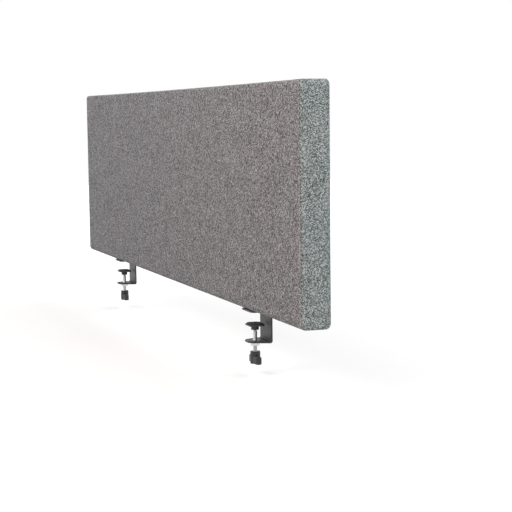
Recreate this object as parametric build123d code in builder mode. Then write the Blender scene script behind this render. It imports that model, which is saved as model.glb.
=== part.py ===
from build123d import *
from math import cos, radians, sqrt
import os

# Acoustic divider screen that clamps along an edge. Millimetres, +Z up, front face towards -Y,
# length along X. The origin lies at mid-length, in the middle of the panel's thickness, at the
# height of the underside of the clamps' plates.

os.makedirs("parts", exist_ok=True)

# Panel, measured over its cloth
panel_length = 1600.0
panel_height = 400.0
panel_thickness = 50.0
edge_rounding = 9.5
top_bow = 1.5  # how far the pull of the cloth draws the middle of the top edge down
overrun = 5.0  # how far every cut runs past what it cuts

# Upholstery, from the outside in
fabric_thickness = 1.2
layer_gap = 0.1  # slack between two layers
foam_thickness = 8.0
edge_pad_thickness = 6.0
border_turn = 25.0  # how far the border is turned in under each end
hem_gap = 8.0  # bare stretch of rail between the two turned-in hems
strip_thickness = 1.0
strip_width = 28.0
strip_end_inset = 34.0
strip_hole_clearance = 0.5

# Staples along both hems
staple_crown = 10.0
staple_leg = 8.0
staple_wire_width = 1.2
staple_wire_thickness = 0.6
staple_pitch = 75.0

# Frame
rail_depth = 30.0
stile_width = 30.0
frame_easing = 1.5
septum_thickness = 3.0
groove_depth = 8.0
groove_clearance = 0.1
septum_end_clearance = 1.0
bay_count = 3
batten_width = 30.0
absorber_clearance = 0.5

# Loose tenons across the frame's corners
tenon_length = 36.0
tenon_width = 14.0
tenon_thickness = 6.0
mortise_spare = 1.0
mortise_clearance = 0.02

# Clamps
clamp_inset = 300.0  # from each end of the panel to its clamp's middle
desk_overhang = 10.0  # how far the panel's rear stands past the edge that the clamps grip
desk_thickness = 22.0  # of what the clamps grip at rest
jaw_least = 12.0  # least and most thickness that the clamps can grip
jaw_most = 40.0
bracket_thickness = 3.0
bracket_width = 60.0
bend_radius = 1.5
plate_corner_cut = 6.0
screw_reach = 20.0  # from the gripped edge in to the clamp screw
arm_end_reach = 16.0  # how far the arm's metal goes past the screw's axis
arm_end_width = 32.0
arm_clearance = 1.0

# Fixing screws and their inserts
fixing_spacing = 36.0
fixing_diameter = 5.0
fixing_length = 16.0
fixing_head_diameter = 9.6
fixing_head_land = 0.3
fixing_recess = 0.2
fixing_socket_across = 3.0
fixing_socket_depth = 1.5
fixing_clearance = 0.4
insert_diameter = 8.0
insert_length = 13.0
wall_clearance = 0.02  # between a pressed or moulded-in piece and its hole
insert_hole_spare = 2.0

# Weld nut in the lower arm
nut_across_flats = 14.0
nut_height = 6.5
nut_pilot_diameter = 10.5
thread_clearance = 0.06

# Clamp screw, with a button on its end that turns in the pad cup
screw_diameter = 8.0
button_diameter = 9.0
neck_diameter = 5.2
neck_reach = 2.0  # how far the neck stands out of the pad cup
screw_in_knob = 18.0

# Pad on the clamp screw
pad_width = 36.0
pad_depth = 28.0
pad_corner_cut = 5.0
pad_plate_thickness = 2.5
pad_rubber_inset = 2.0
pad_rubber_thickness = 2.0
boss_diameter = 14.0
boss_height = 7.5
socket_clearance = 0.3
socket_roof = 2.0
socket_lip = 2.0
neck_clearance = 0.4

# Wing knob
wing_span = 46.0
wing_tip_width = 9.0
wing_root_width = 16.0
wing_corner_cut = 2.5
wing_edge_cut = 1.5
knob_grip_height = 14.0
knob_hub_diameter = 18.0
knob_hub_height = 8.0
knob_stop_clearance = 0.5

# Places that follow from the sizes above
panel_bottom = bracket_thickness + strip_thickness
panel_top = panel_bottom + panel_height
half_length = panel_length / 2
half_thickness = panel_thickness / 2
seam_place = half_thickness - edge_rounding * (1 - cos(radians(45)))

lining_inset = fabric_thickness + layer_gap
frame_thickness = panel_thickness - 2 * (lining_inset + foam_thickness)
half_frame = frame_thickness / 2
frame_end = half_length - lining_inset - edge_pad_thickness
frame_bottom = panel_bottom + lining_inset
frame_top = panel_top - lining_inset - edge_pad_thickness
opening_bottom = frame_bottom + rail_depth
opening_top = frame_top - rail_depth
opening_end = frame_end - stile_width
frame_middle = (opening_bottom + opening_top) / 2

desk_edge = half_thickness - desk_overhang
screw_place = desk_edge - screw_reach
arm_front = screw_place - arm_end_reach
boss_bottom_depth = pad_rubber_thickness + pad_plate_thickness + boss_height
arm_top = -(jaw_most + boss_bottom_depth + arm_clearance)
arm_bottom = arm_top - bracket_thickness
nut_bottom = arm_bottom - nut_height
clamp_places = {"left": clamp_inset - half_length, "right": half_length - clamp_inset}
fixing_places = [
    (centre + share * fixing_spacing, 0)
    for centre in clamp_places.values()
    for share in (-0.5, 0.5)
]


def finish(part, name):
    """Labels a finished piece and writes its file."""
    part.label = name
    export_step(part, f"parts/{name}.step")


def padded_block(inset, ease=fillet):
    """The panel's rounded outside, or the layer that lies inset deep in it, its edges eased or cut."""
    half, foot, head = half_length - inset, panel_bottom + inset, panel_top - inset
    with BuildPart() as block:
        with BuildSketch(Plane.XZ):
            with BuildLine():
                Polyline((half, head), (half, foot), (-half, foot), (-half, head))
                ThreePointArc((-half, head), (0, head - top_bow), (half, head))
            make_face()
        extrude(amount=half_thickness - inset, both=True)
        ease(block.edges(), edge_rounding - inset)
    return block.part


def slab(x_from, x_to, y_from, y_to, z_from, z_to):
    """A plain cutting block between two corners."""
    with BuildPart() as block:
        with BuildSketch(Plane.XY.offset(z_from)):
            with Locations(((x_from + x_to) / 2, (y_from + y_to) / 2)):
                Rectangle(x_to - x_from, y_to - y_from)
        extrude(amount=z_to - z_from)
    return block.part


# Cover: front and rear panels, and a border up one end, over the top and down the other end
outside = padded_block(0)
lining = padded_block(fabric_thickness)
hem_end = half_length - border_turn
hem_top = panel_bottom + edge_rounding
past_end = half_length + overrun
past_face = half_thickness + overrun
past_foot = panel_bottom - overrun
past_top = panel_top + overrun

with BuildPart() as cover_front:
    add(slab(-past_end, past_end, -past_face, -seam_place, past_foot, past_top))
    add(slab(-hem_end, hem_end, -past_face, -hem_gap / 2, past_foot, hem_top))
    add(outside, mode=Mode.INTERSECT)
    add(lining, mode=Mode.SUBTRACT)
finish(cover_front.part, "cover_front")

with BuildPart() as cover_rear:
    mirror(cover_front.part, about=Plane.XZ)
finish(cover_rear.part, "cover_rear")

with BuildPart() as cover_border:
    add(slab(-past_end, past_end, -seam_place, seam_place, past_foot, past_top))
    add(slab(-hem_end, hem_end, -past_face, past_face, past_foot, hem_top), mode=Mode.SUBTRACT)
    add(outside, mode=Mode.INTERSECT)
    add(lining, mode=Mode.SUBTRACT)
finish(cover_border.part, "cover_border")

# Padding: a foam sheet on each face, and a pad along the top and down both ends. Foam is cut
# straight, so its edges are cut off flat, and the stretched cloth makes the round.
padding = padded_block(lining_inset, chamfer)

with BuildPart() as foam_front:
    add(slab(-past_end, past_end, -past_face, -half_frame, past_foot, past_top))
    add(padding, mode=Mode.INTERSECT)
finish(foam_front.part, "foam_front")

with BuildPart() as foam_rear:
    mirror(foam_front.part, about=Plane.XZ)
finish(foam_rear.part, "foam_rear")

with BuildPart() as edge_pad_top:
    add(slab(-past_end, past_end, -half_frame, half_frame, frame_top, past_top))
    add(padding, mode=Mode.INTERSECT)
finish(edge_pad_top.part, "edge_pad_top")

with BuildPart() as edge_pad_right:
    add(slab(frame_end, past_end, -half_frame, half_frame, past_foot, frame_top))
    add(padding, mode=Mode.INTERSECT)
finish(edge_pad_right.part, "edge_pad_right")

with BuildPart() as edge_pad_left:
    mirror(edge_pad_right.part, about=Plane.YZ)
finish(edge_pad_left.part, "edge_pad_left")

# Frame: grooved rails and stiles, with loose tenons across the corners
groove_width = septum_thickness + 2 * groove_clearance
tenon_row = (groove_width / 2 + half_frame) / 2
tenon_column = frame_end - stile_width / 2
tenon_places = [
    (x_side * tenon_column, y_side * tenon_row) for x_side in (-1, 1) for y_side in (-1, 1)
]
mortise_width = tenon_width + 2 * mortise_clearance
mortise_thickness = tenon_thickness + 2 * mortise_clearance
mortise_depth = tenon_length / 2 + mortise_spare


def rail(outer, inner):
    """A full-length rail between its outer and inner height, grooved and mortised on its inner face."""
    low, high = min(outer, inner), max(outer, inner)
    inwards = 1 if inner > outer else -1
    with BuildPart() as piece:
        add(slab(-frame_end, frame_end, -half_frame, half_frame, low, high))
        long_edges = piece.faces().sort_by(Axis.Z)[0 if inwards > 0 else -1].edges()
        chamfer(long_edges, frame_easing)
        with BuildSketch(Plane.XY.offset(inner)):
            Rectangle(2 * (frame_end + overrun), groove_width)
        extrude(amount=-inwards * groove_depth, mode=Mode.SUBTRACT)
        with BuildSketch(Plane.XY.offset(inner)):
            with Locations(*tenon_places):
                Rectangle(mortise_width, mortise_thickness)
        extrude(amount=-inwards * mortise_depth, mode=Mode.SUBTRACT)
    return piece.part


with BuildPart() as frame_top_rail:
    add(rail(frame_top, opening_top))
finish(frame_top_rail.part, "frame_top_rail")

with BuildPart() as frame_bottom_rail:
    add(rail(frame_bottom, opening_bottom))
    with BuildSketch(Plane.XY.offset(frame_bottom)):
        with Locations(*fixing_places):
            Circle(insert_diameter / 2 + wall_clearance)
    extrude(amount=insert_length + insert_hole_spare, mode=Mode.SUBTRACT)
finish(frame_bottom_rail.part, "frame_bottom_rail")

with BuildPart() as frame_right_stile:
    add(slab(opening_end, frame_end, -half_frame, half_frame, opening_bottom, opening_top))
    chamfer(frame_right_stile.edges().filter_by(Axis.Z).group_by(Axis.X)[-1], frame_easing)
    with BuildSketch(Plane.XY.offset(opening_bottom)):
        with Locations((opening_end, 0)):
            Rectangle(2 * groove_depth, groove_width)
    extrude(amount=opening_top - opening_bottom, mode=Mode.SUBTRACT)
    for height, into in ((opening_bottom, 1), (opening_top, -1)):
        with BuildSketch(Plane.XY.offset(height)):
            with Locations((tenon_column, tenon_row), (tenon_column, -tenon_row)):
                Rectangle(mortise_width, mortise_thickness)
        extrude(amount=into * mortise_depth, mode=Mode.SUBTRACT)
finish(frame_right_stile.part, "frame_right_stile")

with BuildPart() as frame_left_stile:
    mirror(frame_right_stile.part, about=Plane.YZ)
finish(frame_left_stile.part, "frame_left_stile")

with BuildPart() as frame_tenons:
    for height in (opening_bottom, opening_top):
        with BuildSketch(Plane.XY.offset(height - tenon_length / 2)):
            with Locations(*tenon_places):
                Rectangle(tenon_width, tenon_thickness)
        extrude(amount=tenon_length)
finish(frame_tenons.part, "frame_tenons")

# Centre board in the groove, with battens glued to both faces
septum_reach = groove_depth - septum_end_clearance

with BuildPart() as septum_board:
    with BuildSketch(Plane.XZ):
        with Locations((0, frame_middle)):
            Rectangle(
                2 * (opening_end + septum_reach),
                opening_top - opening_bottom + 2 * septum_reach,
            )
    extrude(amount=septum_thickness / 2, both=True)
finish(septum_board.part, "septum_board")

bay_pitch = (2 * opening_end + batten_width) / bay_count
bay_width = bay_pitch - batten_width
batten_place = bay_pitch / 2
half_septum = septum_thickness / 2

with BuildPart() as batten_front_right:
    with BuildSketch(Plane.XZ.offset(half_septum)):
        with Locations((batten_place, frame_middle)):
            Rectangle(batten_width, opening_top - opening_bottom)
    extrude(amount=half_frame - half_septum)
    outer_face = batten_front_right.faces().sort_by(Axis.Y)[0]
    chamfer(outer_face.edges().filter_by(Axis.Z), frame_easing)
finish(batten_front_right.part, "batten_front_right")

with BuildPart() as batten_front_left:
    mirror(batten_front_right.part, about=Plane.YZ)
finish(batten_front_left.part, "batten_front_left")

with BuildPart() as batten_rear_right:
    mirror(batten_front_right.part, about=Plane.XZ)
finish(batten_rear_right.part, "batten_rear_right")

with BuildPart() as batten_rear_left:
    mirror(batten_front_left.part, about=Plane.XZ)
finish(batten_rear_left.part, "batten_rear_left")

# Absorber batts, one in each bay on each side of the board
bays = {"left": -bay_pitch, "middle": 0.0, "right": bay_pitch}
for bay, centre in bays.items():
    with BuildPart() as absorber_front:
        with BuildSketch(Plane.XZ.offset(half_septum)):
            with Locations((centre, frame_middle)):
                Rectangle(
                    bay_width - 2 * absorber_clearance,
                    opening_top - opening_bottom - 2 * absorber_clearance,
                )
        extrude(amount=half_frame - half_septum - absorber_clearance)
    finish(absorber_front.part, f"absorber_front_{bay}")

    with BuildPart() as absorber_rear:
        mirror(absorber_front.part, about=Plane.XZ)
    finish(absorber_rear.part, f"absorber_rear_{bay}")

# Closing strip under the panel, over both hems and their staples
with BuildPart() as closing_strip:
    with BuildSketch(Plane.XY.offset(bracket_thickness)):
        Rectangle(2 * (half_length - strip_end_inset), strip_width)
        with Locations(*fixing_places):
            Circle(fixing_diameter / 2 + strip_hole_clearance, mode=Mode.SUBTRACT)
    extrude(amount=strip_thickness)
finish(closing_strip.part, "closing_strip")

staple_count = int(2 * hem_end / staple_pitch)
staple_row = (hem_gap / 2 + half_thickness - edge_rounding) / 2
crown_height = panel_bottom + staple_wire_thickness
leg_place = (staple_crown - staple_wire_width) / 2

with BuildPart() as hem_staples:
    with GridLocations(staple_pitch, 2 * staple_row, staple_count, 2):
        with Locations((0, 0, panel_bottom)):
            Box(
                staple_crown,
                staple_wire_width,
                staple_wire_thickness,
                align=(Align.CENTER, Align.CENTER, Align.MIN),
            )
        with Locations((-leg_place, 0, crown_height), (leg_place, 0, crown_height)):
            Box(
                staple_wire_width,
                staple_wire_width,
                staple_leg,
                align=(Align.CENTER, Align.CENTER, Align.MIN),
            )
finish(hem_staples.part, "hem_staples")

with BuildPart() as threaded_inserts:
    with BuildSketch(Plane.XY.offset(frame_bottom)):
        with Locations(*fixing_places):
            Circle(insert_diameter / 2)
            Circle(fixing_diameter / 2 + thread_clearance, mode=Mode.SUBTRACT)
    extrude(amount=insert_length)
finish(threaded_inserts.part, "threaded_inserts")

# Clamps. Each bracket is one folded strip: a plate under the panel, a web down behind the gripped
# edge, and an arm below that carries the clamp screw.
strip_middle = bracket_thickness / 2
web_middle = desk_edge + strip_middle
web_back = desk_edge + bracket_thickness
arm_middle = arm_top - strip_middle
head_radius = fixing_head_diameter / 2
shank_radius = fixing_diameter / 2
cone_bottom = fixing_recess + fixing_head_land
cone_top = cone_bottom + head_radius - shank_radius
pilot_hole_radius = nut_pilot_diameter / 2 + wall_clearance


def clamp_bracket(centre):
    """The plate's outline above and the arm's below, cut to the folded strip's side view."""
    end_half, web_half = arm_end_width / 2, bracket_width / 2
    fixings = [(centre + share * fixing_spacing, 0, 0) for share in (-0.5, 0.5)]
    with BuildPart() as bracket:
        with BuildSketch(Plane((centre, (arm_front + web_back) / 2, arm_middle / 2))) as plate:
            Rectangle(bracket_width, web_back - arm_front)
            chamfer(plate.vertices().group_by(Axis.Y)[0], plate_corner_cut)
        extrude(amount=bracket_thickness - arm_middle / 2)
        with BuildSketch(Plane((centre, 0, arm_middle / 2))) as arm:
            with BuildLine():
                Polyline(
                    (-end_half, arm_front),
                    (end_half, arm_front),
                    (web_half, desk_edge),
                    (web_half, web_back),
                    (-web_half, web_back),
                    (-web_half, desk_edge),
                    close=True,
                )
            make_face()
            chamfer(arm.vertices().group_by(Axis.Y)[0], plate_corner_cut)
        extrude(amount=arm_bottom - arm_middle / 2)
        with BuildSketch(Plane.YZ.offset(centre)):
            with BuildLine():
                FilletPolyline(
                    (arm_front, strip_middle),
                    (web_middle, strip_middle),
                    (web_middle, arm_middle),
                    (arm_front, arm_middle),
                    radius=bend_radius + strip_middle,
                )
            trace(line_width=bracket_thickness)
        extrude(amount=bracket_width / 2, both=True, mode=Mode.INTERSECT)
        with Locations(*[Plane(place, z_dir=(0, 0, -1)) for place in fixings]):
            CounterSinkHole(shank_radius + fixing_clearance, head_radius + cone_bottom)
        with BuildSketch(Plane((centre, screw_place, arm_bottom))):
            Circle(pilot_hole_radius)
        extrude(amount=bracket_thickness, mode=Mode.SUBTRACT)
    return bracket.part


with BuildPart() as bracket_screws:
    for place in [Plane(spot) for spot in fixing_places]:
        with BuildSketch(Plane(place.origin, x_dir=(1, 0, 0), z_dir=(0, -1, 0))):
            with BuildLine():
                Polyline(
                    (0, fixing_recess),
                    (head_radius, fixing_recess),
                    (head_radius, cone_bottom),
                    (shank_radius, cone_top),
                    (shank_radius, fixing_length),
                    (0, fixing_length),
                    close=True,
                )
            make_face()
        revolve(axis=Axis(place.origin, (0, 0, 1)))
        with BuildSketch(place.offset(fixing_recess)):
            RegularPolygon(fixing_socket_across / 2, 6, major_radius=False)
        extrude(amount=fixing_socket_depth, mode=Mode.SUBTRACT)
finish(bracket_screws.part, "bracket_screws")

# Hexagon weld nuts under the arms, each with its round pilot in the arm's hole
screw_axes = [(centre, screw_place) for centre in clamp_places.values()]

with BuildPart() as clamp_nuts:
    with BuildSketch(Plane.XY.offset(nut_bottom)):
        with Locations(*screw_axes):
            RegularPolygon(nut_across_flats / 2, 6, major_radius=False)
    extrude(amount=nut_height)
    with BuildSketch(Plane.XY.offset(arm_bottom)):
        with Locations(*screw_axes):
            Circle(nut_pilot_diameter / 2)
    extrude(amount=bracket_thickness)
    with BuildSketch(Plane.XY.offset(nut_bottom)):
        with Locations(*screw_axes):
            Circle(screw_diameter / 2 + thread_clearance)
    extrude(amount=nut_height + bracket_thickness, mode=Mode.SUBTRACT)
finish(clamp_nuts.part, "clamp_nuts")


# Places along the clamp screw, from its pad down, at the thickness that it grips at rest
cup_top = -desk_thickness - pad_rubber_thickness
cup_bottom = cup_top - pad_plate_thickness - boss_height
socket_top = cup_top - socket_roof
socket_bottom = cup_bottom + socket_lip
button_top = socket_top - socket_clearance
button_bottom = socket_bottom + socket_clearance
button_radius = button_diameter / 2
neck_radius = neck_diameter / 2
neck_bottom = cup_bottom - neck_reach
thread_radius = screw_diameter / 2
knob_top = nut_bottom - (desk_thickness - jaw_least) - knob_stop_clearance
grip_top = knob_top - knob_hub_height
grip_bottom = grip_top - knob_grip_height
screw_bottom = knob_top - screw_in_knob


def clamp_screw(centre):
    """The screw turned from one bar: a button, a neck and the threaded stem."""
    with BuildPart() as screw:
        with BuildSketch(Plane((centre, screw_place, 0), x_dir=(1, 0, 0), z_dir=(0, -1, 0))):
            with BuildLine():
                Polyline(
                    (0, button_top),
                    (button_radius, button_top),
                    (button_radius, button_bottom),
                    (neck_radius, button_bottom),
                    (neck_radius, neck_bottom),
                    (thread_radius, neck_bottom),
                    (thread_radius, screw_bottom),
                    (0, screw_bottom),
                    close=True,
                )
            make_face()
        revolve(axis=Axis((centre, screw_place, 0), (0, 0, 1)))
    return screw.part


def clamp_knob(centre):
    """A wing knob moulded on the screw's foot: two tapered wings and a round hub."""
    foot = Plane((centre, screw_place, grip_bottom))
    reach, tip_half, root_half = wing_span / 2, wing_tip_width / 2, wing_root_width / 2
    with BuildPart() as knob:
        with BuildSketch(foot) as wings:
            with BuildLine():
                Polyline(
                    (-reach, tip_half),
                    (0, root_half),
                    (reach, tip_half),
                    (reach, -tip_half),
                    (0, -root_half),
                    (-reach, -tip_half),
                    close=True,
                )
            make_face()
            chamfer(wings.vertices().group_by(Axis.X)[0], wing_corner_cut)
            chamfer(wings.vertices().group_by(Axis.X)[-1], wing_corner_cut)
        extrude(amount=knob_grip_height)
        chamfer(knob.edges().group_by(Axis.Z)[0], wing_edge_cut)
        chamfer(knob.edges().group_by(Axis.Z)[-1], wing_edge_cut)
        with BuildSketch(foot):
            Circle(knob_hub_diameter / 2)
        extrude(amount=knob_grip_height + knob_hub_height)
        with BuildSketch(foot.offset(screw_bottom - grip_bottom)):
            Circle(thread_radius + wall_clearance)
        extrude(amount=screw_in_knob, mode=Mode.SUBTRACT)
    return knob.part


def pad_slab(centre, height, thickness, inset):
    """A slab of the pad's outline, or of the outline that lies inset in it, with its corners cut."""
    with BuildPart() as layer:
        with BuildSketch(Plane((centre, screw_place, height))) as outline:
            Rectangle(pad_width - 2 * inset, pad_depth - 2 * inset)
            chamfer(outline.vertices(), pad_corner_cut)
        extrude(amount=thickness)
    return layer.part


def clamp_pad_cup(centre):
    """The pad's plate and boss, with a socket for the screw's button and a lip that keeps it in."""
    foot = Plane((centre, screw_place, cup_bottom))
    with BuildPart() as cup:
        add(pad_slab(centre, cup_top - pad_plate_thickness, pad_plate_thickness, 0))
        with BuildSketch(foot):
            Circle(boss_diameter / 2)
        extrude(amount=boss_height)
        with BuildSketch(foot):
            Circle(neck_radius + neck_clearance)
        extrude(amount=socket_lip, mode=Mode.SUBTRACT)
        with BuildSketch(foot.offset(socket_lip)):
            Circle(button_radius + socket_clearance)
        extrude(amount=socket_top - socket_bottom, mode=Mode.SUBTRACT)
    return cup.part


def clamp_pad_rubber(centre):
    """The rubber face glued on the pad."""
    with BuildPart() as rubber:
        add(pad_slab(centre, cup_top, pad_rubber_thickness, pad_rubber_inset))
    return rubber.part


clamp_pieces = {
    "clamp_bracket": clamp_bracket,
    "clamp_screw": clamp_screw,
    "clamp_knob": clamp_knob,
    "clamp_pad_cup": clamp_pad_cup,
    "clamp_pad_rubber": clamp_pad_rubber,
}
for side, centre in clamp_places.items():
    for name, make in clamp_pieces.items():
        finish(make(centre), f"{name}_{side}")

print("clamps grip from and to", jaw_least, jaw_most, "at rest", desk_thickness)
print("screw axis at y", screw_place, "button from z", button_bottom, "to", button_top)
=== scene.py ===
# %% [markdown]
# A long padded screen in woollen cloth is dressed here around its frame of solids, built to size.
# What is soft gets a modelled piece of its own, and what is rigid a finish. All could be modelled
# afresh and fitted by eye, but this way each piece takes its place from its solid.

# %% Load the frame
from math import cos, pi, radians, sin

import bmesh
import bpy
import numpy as np
from mathutils import Matrix, Vector


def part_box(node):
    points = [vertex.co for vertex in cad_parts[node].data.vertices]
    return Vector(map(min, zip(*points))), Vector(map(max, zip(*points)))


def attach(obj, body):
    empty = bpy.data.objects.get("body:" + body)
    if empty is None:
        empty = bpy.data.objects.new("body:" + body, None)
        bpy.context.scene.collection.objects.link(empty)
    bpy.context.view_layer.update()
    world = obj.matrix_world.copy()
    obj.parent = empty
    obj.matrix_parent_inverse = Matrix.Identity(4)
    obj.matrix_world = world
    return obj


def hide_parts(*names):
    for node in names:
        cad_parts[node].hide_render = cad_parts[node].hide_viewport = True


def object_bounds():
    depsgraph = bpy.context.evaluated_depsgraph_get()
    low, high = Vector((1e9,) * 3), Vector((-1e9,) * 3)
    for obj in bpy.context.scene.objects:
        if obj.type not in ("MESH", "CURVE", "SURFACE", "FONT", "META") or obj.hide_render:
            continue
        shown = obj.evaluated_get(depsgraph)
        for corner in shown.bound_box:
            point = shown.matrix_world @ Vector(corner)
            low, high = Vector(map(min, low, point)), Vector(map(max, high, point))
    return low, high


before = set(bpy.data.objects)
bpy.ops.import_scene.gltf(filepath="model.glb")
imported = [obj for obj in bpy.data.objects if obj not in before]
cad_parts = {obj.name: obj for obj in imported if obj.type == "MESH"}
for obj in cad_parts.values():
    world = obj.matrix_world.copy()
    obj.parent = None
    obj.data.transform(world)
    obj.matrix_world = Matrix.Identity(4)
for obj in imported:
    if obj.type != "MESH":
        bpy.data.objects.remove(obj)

scene = bpy.context.scene
scene.view_settings.view_transform = "Standard"
cad_low, cad_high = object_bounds()
mm = 0.001
print("frame box", cad_low, cad_high)

# %% [markdown]
# The camera stands where the photograph was taken from. It could be set by eye, but one place,
# direction and lens put outline, seam and lower edges where the picture has them, to about a
# pixel. Yaw turns it from looking straight along the panel, pitch tips it, downwards below zero,
# and roll is its own lean.

# %% Camera
camera_place = Vector((2.9551, -0.8247, 0.3460))
yaw, pitch, roll = radians(18.538), radians(-5.470), radians(-0.709)
focal_pixels, frame_pixels, sensor_width = 1458.9, 512.0, 36.0

forward = Vector((-cos(yaw) * cos(pitch), sin(yaw) * cos(pitch), sin(pitch)))
level_right = forward.cross(Vector((0, 0, 1))).normalized()
level_up = level_right.cross(forward)
camera_right = cos(roll) * level_right + sin(roll) * level_up
camera_up = cos(roll) * level_up - sin(roll) * level_right

lens = bpy.data.cameras.new("camera")
lens.sensor_width = sensor_width
lens.lens = focal_pixels / frame_pixels * sensor_width
lens.clip_end = 60.0
camera = bpy.data.objects.new("camera", lens)
turn = Matrix((camera_right, camera_up, -forward)).transposed()
camera.matrix_world = Matrix.Translation(camera_place) @ turn.to_4x4()
scene.collection.objects.link(camera)
scene.camera = camera
print("lens", round(lens.lens, 2), "mm")

# %% [markdown]
# Every finish below is built from nodes, which stay sharp at any distance and need no picture
# files. Written wire by wire, a long tree is hard to read, so a small helper makes it arithmetic:
# each call adds one node and gives back its output.

# %% A helper that writes node trees as arithmetic


class Wires:
    """Adds nodes to one tree. Values may be numbers, colours or sockets of other nodes."""

    def __init__(self, tree):
        self.tree = tree

    def fill(self, node, values):
        """Sets a node's inputs, by name or number, and wires those whose value is a socket."""
        for name, value in values.items():
            if isinstance(value, bpy.types.NodeSocket):
                self.tree.links.new(value, node.inputs[name])
            else:
                node.inputs[name].default_value = value
        return node

    def add(self, kind, values=None, out=0, **settings):
        """Adds a node of that kind, with its settings and inputs, and gives one output."""
        node = self.tree.nodes.new(f"ShaderNode{kind}")
        for name, value in settings.items():
            setattr(node, name, value)
        return self.fill(node, values or {}).outputs[out]

    def math(self, operation, a, b=0.0, c=0.0):
        """One step of arithmetic on up to three values."""
        return self.add("Math", {0: a, 1: b, 2: c}, operation=operation)

    def plus(self, a, b):
        """a + b"""
        return self.math("ADD", a, b)

    def minus(self, a, b):
        """a - b"""
        return self.math("SUBTRACT", a, b)

    def times(self, a, b, more=None):
        """a * b, or a * b + more"""
        return self.math("MULTIPLY", a, b) if more is None else self.math("MULTIPLY_ADD", a, b, more)

    def vector(self, operation, a, b=(0.0, 0.0, 0.0), out=0):
        """One step of arithmetic on vectors; output 1 is a plain number."""
        return self.add("VectorMath", {0: a, 1: b}, out, operation=operation)

    def point(self, x, y, z=0.0):
        """Three values as one vector."""
        return self.add("CombineXYZ", {"X": x, "Y": y, "Z": z})

    def here(self):
        """The place on the object itself, in metres."""
        return self.add("TexCoord", out=3)

    def smooth(self, value, low, high, start=0.0, end=1.0):
        """Goes smoothly from start to end as the value goes from low to high."""
        values = {"Value": value, "From Min": low, "From Max": high, "To Min": start, "To Max": end}
        return self.add("MapRange", values, interpolation_type="SMOOTHSTEP")

    def blend(self, share, a, b, how="MIX"):
        """Colour a and colour b, mixed by a share from 0 to 1."""
        return self.add("Mix", {0: share, 6: a, 7: b}, 2, data_type="RGBA", blend_type=how)

    def chance(self, vector):
        """One random number from 0 to 1 for each different vector."""
        return self.add("TexWhiteNoise", {"Vector": vector}, noise_dimensions="3D")

    def noise(self, vector, scale, detail=2.0, roughness=0.5, out=0):
        """Soft clouds around 0.5, so many to the metre; output 1 has three at once."""
        values = {"Vector": vector, "Scale": scale, "Detail": detail, "Roughness": roughness}
        return self.add("TexNoise", values, out)

    def bump(self, height, distance, strength=1.0):
        """A normal from a height, counted in distances of so many metres."""
        return self.add("Bump", {"Height": height, "Distance": distance, "Strength": strength})


print("steps:", [name for name in vars(Wires) if not name.startswith("_")])

# %% [markdown]
# The cover's two cloths are the same weave with other yarns. It could be built twice, once in each
# material, but a shader group is built once, and its named inputs say what may be changed.

# %% The group of the weave


def open_group(name, inputs, outputs):
    """A new shader group with named inputs and outputs, and what fills it."""
    tree = bpy.data.node_groups.new(name, "ShaderNodeTree")
    for way, sockets in (("INPUT", inputs), ("OUTPUT", outputs)):
        for label, kind in sockets.items():
            tree.interface.new_socket(label, in_out=way, socket_type=f"NodeSocket{kind}")
    given = tree.nodes.new("NodeGroupInput").outputs
    result = tree.nodes.new("NodeGroupOutput")
    return tree, Wires(tree), given, result


numbers = ("Pitch", "Warp Share", "Weft Fleck", "Warp Fleck", "Contrast", "Seed")
colours = ("Dark", "Base", "Light", "Warm")
asked = {"Vector": "Vector"} | dict.fromkeys(numbers, "Float") | dict.fromkeys(colours, "Color")
answered = {"Color": "Color", "Height": "Float", "Roughness": "Float"}
melange, wires, given, result = open_group("melange weave", asked, answered)
print("melange weave:", len(asked), "inputs")

# %% [markdown]
# The cloth is a plain weave of melange yarn: greys are mixed before they are spun, so each yarn
# goes lighter and darker. Plain noise could imitate it, but has no threads close up, so the lines
# of the yarns are worked out. Three sizes of noise bend them, because yarns wander, go thick and
# thin, and have ragged edges.

# %% The lines of the yarns
flat_place = given["Vector"]
bent = flat_place
for scale, reach in ((60.0, 1.2 * mm), (430.0, 1.1 * mm), (1700.0, 0.9 * mm)):
    wander = wires.vector("SUBTRACT", wires.noise(flat_place, scale, 1.0, out=1), (0.5, 0.5, 0.5))
    bent = wires.vector("ADD", bent, wires.vector("MULTIPLY", wander, (reach, reach, 0.0)))
lines = wires.add("SeparateXYZ", {"Vector": bent}).node.outputs
along, up = (wires.math("DIVIDE", lines[way], given["Pitch"]) for way in "XY")
print("lines of the yarns:", len(melange.nodes), "nodes")

# %% [markdown]
# The yarn on top bulges over its neighbours, so a crossing is an oval. Square tiles would be
# simpler but show as a chequer, so their edges move by bulge*cos(pi*along)*sin(pi*up), and by the
# same turned round. The warp lies on top at every other crossing, and at fewer where the weft is
# beaten close.

# %% Which yarn lies on top
bulge = 0.2
turned = [wires.times(way, pi) for way in (along, up)]
sine, cosine = ([wires.math(wave, way) for way in turned] for wave in ("SINE", "COSINE"))
narrower = wires.times(wires.times(cosine[0], sine[1]), -bulge)
longer = wires.times(wires.times(sine[0], cosine[1]), bulge)
edges = (wires.plus(along, narrower), wires.plus(up, longer))
column, row = (wires.math("FLOOR", edge) for edge in edges)
across_warp, across_weft = (wires.minus(wires.math("FRACT", edge), 0.5) for edge in edges)

counted = wires.plus(wires.math("ABSOLUTE", column), wires.math("ABSOLUTE", row))
every_other = wires.math("LESS_THAN", wires.math("MODULO", counted, 2.0), 0.5)
chosen = wires.chance(wires.point(column, row, given["Seed"]))
allowed = wires.math("LESS_THAN", chosen, wires.times(given["Warp Share"], 2.0))
warp_on_top = wires.times(every_other, allowed)
weft_on_top = wires.minus(1.0, warp_on_top)


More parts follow.
